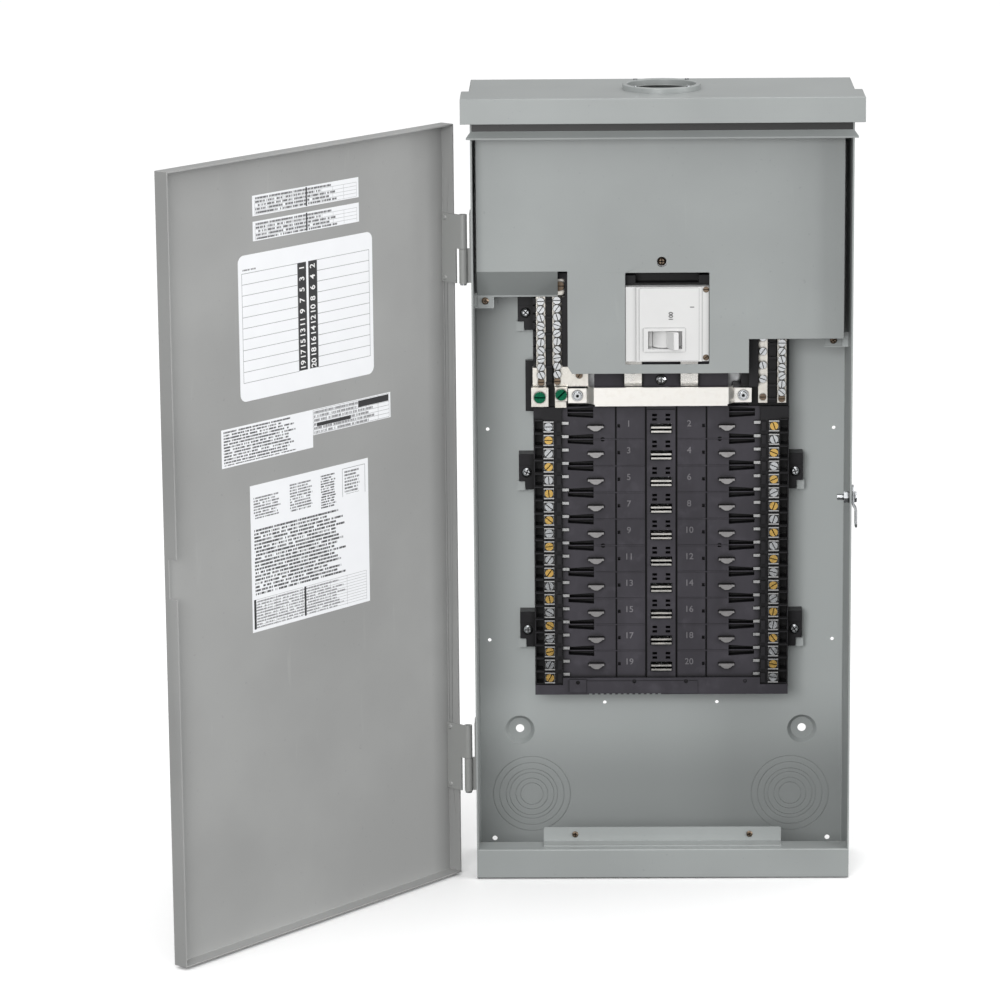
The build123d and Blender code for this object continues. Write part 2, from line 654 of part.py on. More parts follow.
def make_interior_base():
    catches = [(x, up(h)) for x in (-39.4, 39.4) for h in rows]
    pocket_heights = [ROW_TOP + ROW_PITCH / 2] + row_edges[:-1]
    with BuildPart() as base:
        block((-BASE_HALF, BASE_HALF), (BASE_FACE, BASE_BACK), (BASE_LOW, BASE_HIGH))
        block((-62, 62), (66, BASE_BACK), (BASE_HIGH, 485))
        block((-13.2, 13.2), (63.6, BASE_FACE), (BASE_LOW, BASE_HIGH - 3))
        # row ribs
        with BuildSketch(face(BASE_FACE)):
            for x in both((15.8, 62)):
                with Locations(*[(sum(x) / 2, up(h)) for h in row_edges[:-1]]):
                    Rectangle(x[1] - x[0], 0.9)
        extrude(amount=0.45)
        # grooves between the circuit columns
        with BuildSketch(face(BASE_FACE)):
            for x in (-42.1, -14.3, 14.3, 42.1):
                with Locations((x, up((BASE_LOW + BASE_HIGH) / 2))):
                    Rectangle(1.7, BASE_HIGH - BASE_LOW)
        extrude(amount=-4, mode=Mode.SUBTRACT)
        # tapered pockets beside the terminal blocks, each split by a thin rib
        with BuildSketch(face(BASE_FACE)):
            for h in pocket_heights:
                for sign in (1, -1):
                    with BuildLine():
                        Polyline(
                            (sign * 63, up(h - 5.2)),
                            (sign * 63, up(h + 5.2)),
                            (sign * 87, up(h + 3.7)),
                            (sign * 87, up(h - 3.7)),
                            close=True,
                        )
                    make_face()
        extrude(amount=-10, mode=Mode.SUBTRACT)
        with BuildSketch(face(BASE_FACE + 1)):
            for x in both((62.4, 89)):
                with Locations(*[(sum(x) / 2, up(h)) for h in pocket_heights]):
                    Rectangle(x[1] - x[0], 0.9)
        extrude(amount=-9)
        # stab windows, vents, catches and hook seats
        with BuildSketch(face(63.6)):
            with Locations(*[(0, up(h - 2.4)) for h in rows]):
                Rectangle(20.4, 9.4)
            with Locations(*[(x, up(h + dh)) for x in (-6.2, 6.2) for h in rows for dh in (6.2, 10.4)]):
                Rectangle(4.4, 2.4)
        extrude(amount=-BASE_BACK, mode=Mode.SUBTRACT)
        with BuildSketch(face(BASE_FACE)):
            with Locations(*catches):
                Rectangle(2.6, 3.2)
            with Locations(*[(x, up(h)) for x in (-61, 61) for h in rows]):
                Rectangle(15.6, 2.6)
            with Locations(*[(x, up(h)) for x in (-54.4, 54.4) for h in (row_edges[0], row_edges[4])]):
                Circle(2.1)
        extrude(amount=-5, mode=Mode.SUBTRACT)
        with Locations(*spots(((0, 462.2),), 66)):
            Cylinder(2.1, 40, mode=Mode.SUBTRACT)
            Cylinder(5.2, 5, mode=Mode.SUBTRACT)
        # seats of the load straps and their screws
        for x in both((17.4, 34.6)):
            block(x, (50, BASE_BACK + 1), (456, 486), Mode.SUBTRACT)
    keep(base, "interior_base")


def make_buses():
    """Two flat bus bars behind the base; each feeds every second row's stab in the middle column."""
    for name, sign, first in (("left", -1, 0), ("right", 1, 1)):
        with BuildPart() as bus:
            inner, outer = sorted((sign * 14, sign * 50))
            block((inner, outer), (BASE_BACK, BASE_BACK + 3), (184, 479))
            for h in rows[first::2]:
                reach = sorted((sign * 14, -sign * 9.4))
                block(reach, (BASE_BACK, BASE_BACK + 3), (h - 5.6, h - 0.4))
                block((-9.4, 9.4), (60.4, BASE_BACK), (h - 5.6, h - 3.9))
                block((-9.4, 9.4), (62.2, BASE_BACK), (h - 2.1, h - 0.4))
        keep(bus, f"bus_bar_{name}")


def make_hooks():
    for name, sign in (("left", -1), ("right", 1)):
        with BuildPart() as hooks:
            with BuildSketch(face(BASE_FACE + 4.8)):
                with Locations(*[(sign * 61, up(h)) for h in rows]):
                    Rectangle(14.6, 1.8)
            extrude(amount=4.8 + 5)
            with BuildSketch(face(BASE_FACE - 3.4)):
                for h in rows:
                    with BuildLine():
                        Polyline(
                            (sign * 61 - 7.3, up(h + 0.9)),
                            (sign * 61 + 7.3, up(h + 0.9)),
                            (sign * 61 + 4.6, up(h - 2.2)),
                            (sign * 61 + 1.6, up(h - 3.9)),
                            (sign * 61 - 1.6, up(h - 3.9)),
                            (sign * 61 - 4.6, up(h - 2.2)),
                            close=True,
                        )
                    make_face()
            extrude(amount=1.6)
        keep(hooks, f"breaker_hooks_{name}")


# ---- branch terminals ---------------------------------------------------------------------------
terminals = [ROW_TOP - ROW_PITCH / 2 * j for j in range(2 * ROWS)]
BLOCK_LOW = terminals[-1] - 6.6
SHANK_R = 1.8
BRASS = [(-TERMINAL_X, h) for h in terminals[1::2]] + [(TERMINAL_X, h) for h in terminals[0::2]]
ZINC = [(-TERMINAL_X, h) for h in terminals[0::2]] + [(TERMINAL_X, h) for h in terminals[1::2]]


def make_terminal_blocks():
    for name, sign in (("left", -1), ("right", 1)):
        with BuildPart() as terminal_block:
            x = sorted((sign * BASE_HALF, sign * BLOCK_HALF))
            block(x, (63, PAN_FACE), (BLOCK_LOW, BASE_HIGH))
            with BuildSketch(face(63)):
                with Locations(*[(sign * 114, up(h)) for h in terminals]):
                    Rectangle(7, 10.6)
            extrude(amount=-16, mode=Mode.SUBTRACT)
            with BuildSketch(face(63)):
                with Locations(*[(sign * TERMINAL_X, up(h)) for h in terminals]):
                    Rectangle(10.4, 11.2)
            extrude(amount=-2, mode=Mode.SUBTRACT)
            with BuildSketch(face(65)):
                with Locations(*[(sign * TERMINAL_X, up(h)) for h in terminals]):
                    Circle(SHANK_R + 0.1)
            extrude(amount=-8, mode=Mode.SUBTRACT)
            # thin blades between the wire ways, and the row of moulded lugs inboard of the screws
            with BuildSketch(face(63)):
                with Locations(*[(sign * 114.2, up(h + ROW_PITCH / 4)) for h in terminals]):
                    Rectangle(8.2, 1.1)
            extrude(amount=3)
            with BuildSketch(face(63)):
                with Locations(*[(sign * 95.2, up(h)) for h in terminals]):
                    Rectangle(4.2, 8.8)
            extrude(amount=2.4)
        keep(terminal_block, f"terminal_block_{name}")


def make_clamps():
    for name, sign in (("left", -1), ("right", 1)):
        with BuildPart() as clamps:
            with BuildSketch(face(65)):
                with Locations(*[(sign * TERMINAL_X, up(h)) for h in terminals]):
                    Rectangle(9.4, 10.4)
                    Circle(SHANK_R + 0.1, mode=Mode.SUBTRACT)
            extrude(amount=65 - CLAMP_FACE)
            with BuildSketch(face(CLAMP_FACE)):
                with Locations(*[(sign * TERMINAL_X, up(h + dh)) for h in terminals for dh in (-4.6, 4.6)]):
                    Rectangle(9.4, 1.2)
            extrude(amount=2.2)
            # contact tabs that reach the plug-on neutrals beside the base
            with BuildSketch(face(BASE_FACE)):
                with Locations(*[(sign * 89.2, up(h + 3)) for h in terminals]):
                    Rectangle(6.2, 2.6)
            extrude(amount=1.6)
        keep(clamps, f"terminal_clamps_{name}")


def make_terminal_screws():
    for node, points in (("brass_screws", BRASS), ("zinc_screws", ZINC)):
        with BuildPart() as screws:
            slotted_screws(spots(points, CLAMP_FACE, 47), 3.8, 2.3, SHANK_R, 7, 0.9)
        keep(screws, node)


# ---- neutral and ground bars --------------------------------------------------------------------
BAR_FACE = 60.0
BAR_BACK = 69.0
FINE_PITCH = 7.72
COARSE_PITCH = 13.0
BAR_SCREWS = {
    "bar_left_outer": [(-111.2, 537.8 - FINE_PITCH * i) for i in range(10)],
    "bar_left_inner": [(-96.2, 538.7 - FINE_PITCH * i) for i in range(10)],
    "bar_right_inner": [(94.0, 502.8 - COARSE_PITCH * i) for i in range(4)],
    "bar_right_outer": [(111.5, 497.6 - FINE_PITCH * i) for i in range(7)],
}
ANCHOR_SCREWS = {
    "bar_left_outer": [(-111.2, 461.6)],
    "bar_left_inner": [(-96.2, 462.4), (-75.9, 468.0)],
    "bar_right_inner": [(94.0, 446.6)],
    "bar_right_outer": [(111.5, 444.8)],
}
MAIN_LUG_SCREW = (-93.8, 552.2)
BAR_SHAPES = {
    "bar_left_outer": [((-115.4, -107.0), (475, 543.4)), ((-119, -106.6), (457.4, 475))],
    "bar_left_inner": [((-100.4, -92.0), (477, 543.8)), ((-99, -67.6), (457.4, 477))],
    "bar_right_inner": [((89.8, 98.2), (441, 507))],
    "bar_right_outer": [((107.4, 115.6), (441, 500.6))],
}
BONDING = ((-112.6, 448.2), (-92.7, 450.6))
STRAP_SCREWS = ((-77.6, 449.6), (75.8, 449.4))


def make_bars():
    for node, shapes in BAR_SHAPES.items():
        holes = BAR_SCREWS[node] + ANCHOR_SCREWS[node]
        with BuildPart() as bar:
            for x, height in shapes:
                block(x, (BAR_FACE, BAR_BACK), height)
            if node == "bar_left_inner":
                block((-99, -89.2), (58, BAR_BACK), (543.8, 560))
                with Locations(*spots((MAIN_LUG_SCREW,), 58)):
                    Cylinder(2.6, 5, align=INWARD, mode=Mode.SUBTRACT)
            with Locations(*spots(holes, BAR_FACE)):
                Cylinder(1.7, 8, align=INWARD, mode=Mode.SUBTRACT)
        keep(bar, node)
    with BuildPart() as screws:
        for points in BAR_SCREWS.values():
            slotted_screws(spots(points, BAR_FACE, 53), 3.4, 2.4, 1.6, 6, 0.8)
    keep(screws, "bar_screws")
    with BuildPart() as anchors:
        for points in ANCHOR_SCREWS.values():
            slotted_screws(spots(points, BAR_FACE, 60), 3.0, 1.4, 1.6, 7, 0.9)
        slotted_screws(spots((MAIN_LUG_SCREW,), 58, 30), 4.4, 1.2, 2.5, 4, 1.2)
    keep(anchors, "anchor_screws")


def make_bonding():
    with BuildPart() as lugs:
        block((-120.4, -104.6), (55, BAR_BACK), (439.2, 457.2))
        block((-98.4, -87), (55, BAR_BACK), (444.4, 457.2))
        block((-98.4, -88), (60, BAR_BACK), (437.2, 443.6))
        with Locations(*spots(BONDING, 55)):
            Cylinder(2.5, 8, align=INWARD, mode=Mode.SUBTRACT)
    keep(lugs, "bonding_lugs")
    with BuildPart() as screws:
        slotted_screws(spots(BONDING, 55, 45), 5.2, 2.2, 2.4, 7, 1.3)
    keep(screws, "bonding_screws")


def make_neutral_strap():
    low, high = 442.4, 458.2
    with BuildPart() as strap:
        with BuildSketch(level(low)):
            with BuildLine():
                Polyline(
                    (-86.2, back(56)),
                    (-69.2, back(56)),
                    (-62.5, back(48)),
                    (62.0, back(48)),
                    (67.6, back(56)),
                    (83.5, back(56)),
                    (83.5, back(58)),
                    (66.6, back(58)),
                    (61.0, back(50)),
                    (-61.5, back(50)),
                    (-68.2, back(58)),
                    (-86.2, back(58)),
                    close=True,
                )
            make_face()
        extrude(amount=high - low)
        block((-61.5, 61), (48, 61), (low - 1.6, low))
        block((-87, -68), (50, 59), (456, high + 1), Mode.SUBTRACT)
        block((66.4, 84), (50, 59), (456, high + 1), Mode.SUBTRACT)
        with Locations(*spots(STRAP_SCREWS, 56)):
            Cylinder(2.1, 5, align=INWARD, mode=Mode.SUBTRACT)
    keep(strap, "neutral_strap")
    with BuildPart() as screws:
        places = spots(STRAP_SCREWS, 56)
        with Locations(*places):
            Cylinder(4.7, 1.6, align=UPWARD)
            Cylinder(2.0, 9, align=INWARD)
            with Locations((0, 0, 1.6)):
                Cylinder(3.2, 1.6, align=UPWARD)
                Cylinder(1.5, 1.6, align=UPWARD, mode=Mode.SUBTRACT)
    keep(screws, "strap_screws")


def make_carriers():
    with BuildPart() as left:
        block((-BLOCK_HALF, -86.4), (BAR_BACK, PAN_FACE), (BASE_HIGH, 566))
        block((-126, -BLOCK_HALF), (80, PAN_FACE), (430, 478))
        block((-86.4, -69.5), (58, PAN_FACE), (441, 456))
        block((-106.4, -101), (62, BAR_BACK), (458, 543))
        block((-91.4, -86.4), (49, BAR_BACK), (478, 543.4))
        block((-88.8, -86.4), (49, BAR_BACK), (543.4, 566))
        block((-97, -88.8), (49, BAR_BACK), (560.4, 566))
        ribs = [538 - 2 * FINE_PITCH * i for i in range(6)]
        for h in ribs:
            block((-106.4, -101), (59, 62), (h - 1, h + 1))
        for i in range(8):
            h = BAR_SCREWS["bar_left_outer"][i][1]
            block((-118.4, -116.2), (61, BAR_BACK), (h - 2.6, h + 2.6))
        with Locations(*spots(STRAP_SCREWS[:1], 58)):
            Cylinder(2.1, 8, align=INWARD, mode=Mode.SUBTRACT)
    keep(left, "bar_carrier_left")
    with BuildPart() as right:
        block((81.2, BLOCK_HALF), (BAR_BACK, PAN_FACE), (BASE_HIGH, 508))
        block((81.2, 89.5), (56, BAR_BACK), (457, 508))
        block((81.2, 98.6), (56, BAR_BACK), (507.2, 509.5))
        block((74, 81.2), (61, PAN_FACE), (456, 478))
        block((66.8, 83.4), (58, PAN_FACE), (441, 456))
        block((99, 106.4), (63, BAR_BACK), (441, 506))
        for i in range(5):
            h = 496.3 - COARSE_PITCH * i
            block((98.6, 106.8), (60, 63), (h - 1, h + 1))
        with Locations(*spots(STRAP_SCREWS[1:], 58)):
            Cylinder(2.1, 8, align=INWARD, mode=Mode.SUBTRACT)
    keep(right, "bar_carrier_right")


# ---- trim, feet and their screws ----------------------------------------------------------------
def make_lower_trim():
    low, half = 161.2, BLOCK_HALF
    with BuildPart() as trim:
        block((-half, half), (61, PAN_FACE), (low, BLOCK_LOW - 0.2))
        block((-BASE_HALF, BASE_HALF), (61, PAN_FACE), (low, BASE_LOW))
        block((-half, half), (64, PAN_FACE - 2), (low - 1, BLOCK_LOW - 2), Mode.SUBTRACT)
        block((-86.5, -70.5), (59.6, 61), (low + 2.4, BASE_LOW - 1.4))
        block((-70, 34), (60.2, 61), (low + 1, BASE_LOW - 3))
        for i in range(13):
            block((-68 + 5.4 * i, -65.2 + 5.4 * i), (55, 64), (low - 1, low + 1.2), Mode.SUBTRACT)
        with Locations(*spots(((-78.5, 173.2), (-25.5, 174), (23, 174), (78.5, 174)), 59)):
            Cylinder(1.9, 6, mode=Mode.SUBTRACT)
    keep(trim, "lower_trim")


def make_feet():
    with BuildPart() as feet:
        for foot in FOOT_HEIGHTS:
            for x in both((BLOCK_HALF, 132.8)):
                block(x, (84, BOX_D - SHEET), (foot - 16.4, foot + 18))
            for x in both((126.6, 134)):
                block(x, (80, 92), (foot - 17, foot - 8.4), Mode.SUBTRACT)
            for x in both((BLOCK_HALF, 132.8)):
                block(x, (82.4, 84), (foot + 7.6, foot + 18))
        places = [(x, foot) for foot in FOOT_HEIGHTS for x in (-FOOT_X, FOOT_X)]
        with Locations(*spots(places, 84)):
            Cylinder(2.2, 20, align=INWARD, mode=Mode.SUBTRACT)
            Cylinder(5.0, 2.4, align=INWARD, mode=Mode.SUBTRACT)
    keep(feet, "mounting_feet")
    with BuildPart() as screws:
        cross_screws(spots(places, 86.4, 35), 4.3, 2.8, 2.1, 12, 1.1)
    keep(screws, "feet_screws")


# ---- padlock hasp -------------------------------------------------------------------------------
HASP_GAP = 1.2
HASP_T = 1.8


def make_latch():
    inside = HALF_W + HASP_GAP
    bulge = inside + 2.8
    with BuildPart() as hasp:
        with BuildSketch(face(LATCH_D + 8)):
            with BuildLine():
                Polyline(
                    (inside, up(371.5)),
                    (inside, up(354)),
                    (bulge, up(349)),
                    (bulge, up(333)),
                    (bulge + HASP_T, up(333)),
                    (bulge + HASP_T, up(349.7)),
                    (inside + HASP_T, up(354.7)),
                    (inside + HASP_T, up(371.5)),
                    close=True,
                )
            make_face()
        extrude(amount=16)
        rounded = hasp.edges().filter_by(Axis.X)
        fillet(rounded, 4)
        pivot = Plane(origin=(HALF_W, back(LATCH_D), up(LATCH_H)), z_dir=(1, 0, 0))
        with Locations(pivot):
            Cylinder(BOLT_R + PIN_PLAY, 12, mode=Mode.SUBTRACT)
        block((HALF_W, HALF_W + 12), (LATCH_D - 4, LATCH_D + 4), (335.5, 347.5), Mode.SUBTRACT)
    keep(hasp, "latch_hasp")
    with BuildPart() as bolt:
        with Locations(Plane(origin=(HALF_W - 12.5, back(LATCH_D), up(LATCH_H)), z_dir=(1, 0, 0))):
            Cylinder(BOLT_R, 12.5 + HASP_GAP + HASP_T + 0.4, align=UPWARD)
            with Locations((0, 0, 12.5 + HASP_GAP + HASP_T + 0.4)):
                Cylinder(5.0, 2.2, align=UPWARD)
        rim = bolt.edges().group_by(Axis.X)[-1]
        fillet(rim, 0.8)
    keep(bolt, "latch_bolt")
    with BuildPart() as nut:
        with BuildSketch(side(INNER)):
            with Locations((back(LATCH_D), up(LATCH_H))):
                RegularPolygon(5.6, 6)
                Circle(BOLT_R, mode=Mode.SUBTRACT)
        extrude(amount=-5)
    keep(nut, "latch_nut")


make_box_body()
make_bottom_end()
make_floor_bracket()
make_rain_hood()
make_top_header()
make_hub()
for hinge_name, hinge_low in HINGE_LOWS.items():
    make_hinge(hinge_name, hinge_low)
make_door_rivets()
make_door_pan()
make_labels()
make_deadfront()
make_breaker()
make_interior_pan()
make_interior_base()
make_buses()
make_hooks()
make_terminal_blocks()
make_clamps()
make_terminal_screws()
make_bars()
make_bonding()
make_neutral_strap()
make_carriers()
make_lower_trim()
make_feet()
make_latch()
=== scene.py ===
# %% [markdown]
# # An outdoor load center, finished piece by piece
# A load center is the steel cabinet that takes a house's supply and splits it into branch circuits.
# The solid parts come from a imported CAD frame; this file gives each one its finish, adds the thin
# printed and moulded details that CAD leaves out, and lights the whole. Lengths are in metres.

# %% Load the frame
import json

import bmesh
import bpy
import numpy as np
from mathutils import Matrix, Vector


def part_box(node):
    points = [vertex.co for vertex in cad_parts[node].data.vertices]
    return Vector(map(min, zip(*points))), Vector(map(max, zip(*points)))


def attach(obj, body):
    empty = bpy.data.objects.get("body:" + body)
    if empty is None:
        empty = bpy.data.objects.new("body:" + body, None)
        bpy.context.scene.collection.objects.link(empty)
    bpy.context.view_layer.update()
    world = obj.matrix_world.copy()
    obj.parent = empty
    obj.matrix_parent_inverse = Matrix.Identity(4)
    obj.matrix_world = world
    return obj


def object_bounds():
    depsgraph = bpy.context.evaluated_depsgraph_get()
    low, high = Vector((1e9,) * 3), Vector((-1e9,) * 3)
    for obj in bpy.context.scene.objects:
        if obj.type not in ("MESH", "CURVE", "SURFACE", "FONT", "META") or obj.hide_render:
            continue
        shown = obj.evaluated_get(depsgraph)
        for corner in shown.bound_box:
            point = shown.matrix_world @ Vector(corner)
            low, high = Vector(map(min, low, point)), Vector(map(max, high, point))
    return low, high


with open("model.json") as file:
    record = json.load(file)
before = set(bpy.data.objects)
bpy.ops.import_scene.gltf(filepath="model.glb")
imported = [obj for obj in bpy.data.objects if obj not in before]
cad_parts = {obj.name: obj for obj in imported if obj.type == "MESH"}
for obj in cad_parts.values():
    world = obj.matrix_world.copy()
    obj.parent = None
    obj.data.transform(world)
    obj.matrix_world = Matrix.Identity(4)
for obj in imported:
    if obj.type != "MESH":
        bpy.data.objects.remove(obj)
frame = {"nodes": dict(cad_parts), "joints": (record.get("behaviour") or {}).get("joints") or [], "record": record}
cad_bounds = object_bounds()
nodes = frame["nodes"]
joints = {joint["name"]: joint for joint in frame["joints"]}

# %% [markdown]
# ## Shader maths as Python
# A material is a graph of nodes. Wiring it by hand takes a page for one scratch, so a Signal wraps
# one output and gives it Python's operators: writing 1 - mask adds a Math node. Graph.node makes
# any other node, so there is a single way to add one.

# %% The Signal and Graph classes
class Signal:
    """One number output of a shader node; arithmetic on it adds Math nodes."""

    def __init__(self, graph, socket):
        self.graph = graph
        self.socket = socket

    def maths(self, operation, first, second):
        return self.graph.node("ShaderNodeMath", {"operation": operation}, {0: first, 1: second})

    def __add__(self, other):
        return self.maths("ADD", self, other)

    def __sub__(self, other):
        return self.maths("SUBTRACT", self, other)

    def __rsub__(self, other):
        return self.maths("SUBTRACT", other, self)

    def __mul__(self, other):
        return self.maths("MULTIPLY", self, other)

    def __truediv__(self, other):
        return self.maths("DIVIDE", self, other)

    def __gt__(self, other):
        return self.maths("GREATER_THAN", self, other)

    def __lt__(self, other):
        return self.maths("LESS_THAN", self, other)

    __radd__ = __add__
    __rmul__ = __mul__

    def either(self, other):
        return self.maths("MAXIMUM", self, other)

    def floor(self):
        return self.maths("FLOOR", self, 0.0)

    def part(self):
        return self.maths("FRACT", self, 0.0)

    def within(self, low, high):
        """1 between low and high, 0 outside."""
        return (self > low) * (self < high)


class Graph:
    """A tree of shader nodes, of a material or of the sky."""

    def __init__(self, tree):
        self.tree = tree

    def wire(self, value, socket):
        if isinstance(value, Signal):
            self.tree.links.new(value.socket, socket)
            return
        if isinstance(value, (tuple, list)) and len(value) == 3 and socket.type == "RGBA":
            value = (*value, 1.0)
        socket.default_value = value

    def node(self, kind, settings=None, sockets=None, out=0):
        made = self.tree.nodes.new(kind)
        for key, value in (settings or {}).items():
            setattr(made, key, value)
        for key, value in (sockets or {}).items():
            self.wire(value, made.inputs[key])
        return Signal(self, made.outputs[out])


# %% [markdown]
# ## A finish and its building blocks
# Every real finish here is built from the same few things: lumps of some size, a soft threshold, a
# distance along a direction, and painted shade that darkens slots and seams. Each is one
# method, so a finish reads as a recipe.

# %% The Finish class
class Finish(Graph):
    """A material under construction, read from Object coordinates in metres."""

    def __init__(self, name, roughness=0.5, metallic=0.0):
        self.material = bpy.data.materials.new(name)
        self.material.use_nodes = True
        super().__init__(self.material.node_tree)
        self.shader = self.tree.nodes["Principled BSDF"]
        self.place = self.node("ShaderNodeTexCoord", out="Object")
        self.give("Roughness", roughness)
        self.give("Metallic", metallic)

    def give(self, socket, value):
        self.wire(value, self.shader.inputs[socket])
        return self

    def noise(self, size, detail=2.0, stretch=(1, 1, 1), seed=0.0):
        """Soft lumps from 0 to 1, about size metres across, longer where stretch is below 1."""
        scale = tuple(s / size for s in stretch)
        spot = self.node("ShaderNodeVectorMath", {"operation": "MULTIPLY"}, {0: self.place, 1: scale})
        moved = self.node("ShaderNodeVectorMath", {"operation": "ADD"}, {0: spot, 1: (seed, seed, seed)})
        return self.node("ShaderNodeTexNoise", {}, {"Vector": moved, "Scale": 1.0, "Detail": detail})

    def ease(self, value, low, high, start=0.0, end=1.0):
        """value taken from low..high to start..end, eased at both ends and held outside."""
        settings = {"interpolation_type": "SMOOTHSTEP"}
        return self.node("ShaderNodeMapRange", settings, {0: value, 1: low, 2: high, 3: start, 4: end})

    def mix(self, factor, plain, other):
        settings = {"data_type": "RGBA"}
        return self.node("ShaderNodeMix", settings, {0: factor, 6: plain, 7: other}, out=2)

    def along(self, direction, origin=(0, 0, 0)):
        """Distance of a point from origin along a direction."""
        settings = {"operation": "SUBTRACT"}
        offset = self.node("ShaderNodeVectorMath", settings, {0: self.place, 1: tuple(origin)})
        settings = {"operation": "DOT_PRODUCT"}
        return self.node("ShaderNodeVectorMath", settings, {0: offset, 1: tuple(direction)}, out="Value")

    def crevice(self, reach):
        """1 deep in a slot or a seam narrower than about reach metres, 0 in the open."""
        settings = {"samples": 8}
        open_to_air = self.node("ShaderNodeAmbientOcclusion", settings, {"Distance": reach}, out="AO")
        return self.ease(open_to_air, 0.90, 0.52)

    def bump(self, height, depth):
        """Raises the surface by depth metres where height is 1, in the shading only."""
        normal = self.node("ShaderNodeBump", {}, {"Height": height, "Distance": depth, "Strength": 1.0})
        return self.give("Normal", normal)


def dress(finish, *names):
    """Puts one finish on CAD nodes."""
    for name in names:
        slots = nodes[name].data.materials
        slots.clear()
        slots.append(finish.material)
    print(finish.material.name, "on", len(names), "nodes")


# %% [markdown]
# ## Powder-coated sheet steel
# The cabinet is folded sheet steel, sprayed with powder and baked. Seen close, the film has an
# orange-peel ripple of about a millimetre; seen whole, it is even, with faint clouds where hands
# and handling dulled it. A noise at each of those sizes feeds the bump, roughness and colour. The
# header behind the drip lip lies in the hood's shade, and is painted black above a height as
# painted shade.

# %% Powder coat
# painted light: the walls inside the box are painted lighter by this factor
INSIDE_PAINTED_LIGHT = 1.45
CABINET_GREY = (0.292, 0.309, 0.306)
DOOR_GREY = (0.300, 0.303, 0.299)
# painted shade: black for the header band that the hood shades
PAINTED_SHADE_BLACK = (0.012, 0.012, 0.012)
LIP_BELOW = 0.0323


def powder_coat(name, colour, sheen=0.33, inside_box=None, shade_above=None):
    """Grey powder coat; inside the box given by inside_box it is painted lighter,
    as painted light, and darker towards its floor, as painted shade. Above the
    height shade_above it is painted black, as painted shade."""
    paint = Finish(name)
    clouds = paint.noise(0.16, detail=4)
    specks = paint.noise(0.004, detail=3, seed=3)
    peel = paint.noise(0.0014, detail=1)
    scuffs = paint.noise(0.009, detail=6, stretch=(1, 1, 0.12), seed=11)
    scuffed = paint.ease(scuffs, 0.66, 0.78)
    darker = tuple(0.93 * c for c in colour)
    lighter = tuple(min(1.0, 1.05 * c) for c in colour)
    tone = paint.mix(paint.ease(clouds, 0.3, 0.7), darker, lighter)
    tone = paint.mix(paint.ease(specks, 0.68, 0.76) * 0.35, tone, tuple(0.7 * c for c in colour))
    tone = paint.mix(scuffed * 0.25, tone, tuple(1.25 * c for c in colour))
    if inside_box:
        low, high = inside_box
        across = paint.along((1, 0, 0)).within(low.x + 0.002, high.x - 0.002)
        painted_light_inside = across * paint.along((0, 1, 0)).within(low.y, high.y - 0.0055)
        # painted light: inside the box the coat is painted lighter
        tone = paint.mix(painted_light_inside, tone, tuple(INSIDE_PAINTED_LIGHT * c for c in colour))
        # painted shade: darker towards the floor of the box
        painted_floor_shade = paint.ease(paint.along((0, 0, 1), low), 0.17, 0.06) * painted_light_inside
        tone = paint.mix(painted_floor_shade * 0.75, tone, tuple(0.6 * c for c in colour))
    if shade_above:
        # painted shade: black above the lip, where the hood shades the header
        tone = paint.mix(paint.along((0, 0, 1)) > shade_above, tone, PAINTED_SHADE_BLACK)
    paint.give("Base Color", tone)
    paint.give("Roughness", clouds * 0.14 + (sheen - 0.07) + scuffed * 0.12)
    return paint.bump(peel * 0.7 + clouds * 0.3, 0.00004)


cabinet_paint = powder_coat("cabinet_powder_coat", CABINET_GREY)
body_paint = powder_coat("body_powder_coat", CABINET_GREY, inside_box=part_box("box_body"))
lip_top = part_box("top_header")[1].z - LIP_BELOW
header_paint = powder_coat("header_powder_coat", CABINET_GREY, shade_above=lip_top)
cover_paint = powder_coat("cover_powder_coat", CABINET_GREY)
door_coat = powder_coat("door_powder_coat", DOOR_GREY)
dress(body_paint, "box_body")
dress(cabinet_paint, "bottom_end", "floor_bracket", "rain_hood", "hub_collar")
dress(header_paint, "top_header")
dress(cover_paint, "deadfront_cover")
dress(door_coat, "door_pan")

# %% [markdown]
# ## Rounded sheet edges
# A folded or sheared edge is never perfectly sharp: its small round catches the light as a bright
# line, which is what makes sheet metal read as sheet metal. The CAD sheets are welded and get a
# narrow bevel as modifiers, so the frame's own mesh stays untouched.

# %% Soften the sheet edges
def soften(name, width, segments=2):
    """Welds a CAD node's loose triangles and rounds its sharp edges by width."""
    piece = nodes[name]
    weld = piece.modifiers.new("weld", "WELD")
    weld.merge_threshold = 0.00001
    bevel = piece.modifiers.new("edge", "BEVEL")
    bevel.width = width
    bevel.segments = segments
    bevel.limit_method = "ANGLE"
    bevel.angle_limit = np.radians(40)
    bevel.harden_normals = True


SHEETS = ("rain_hood", "bottom_end", "floor_bracket", "deadfront_cover", "door_pan")
for sheet in SHEETS:
    soften(sheet, 0.0003)
print("softened sheets", len(SHEETS))

# %% [markdown]
# ## Black moulded plastic
# The interior is a glass-filled moulding, dark grey rather than black, with a dull skin that holds
# faint swirls where the melt flowed and picks up pale dust. Layers of stretched noise give the
# flow marks, and a fine grain gives the skin. Its many pockets swallow light, so the colour falls
# off in every crevice.

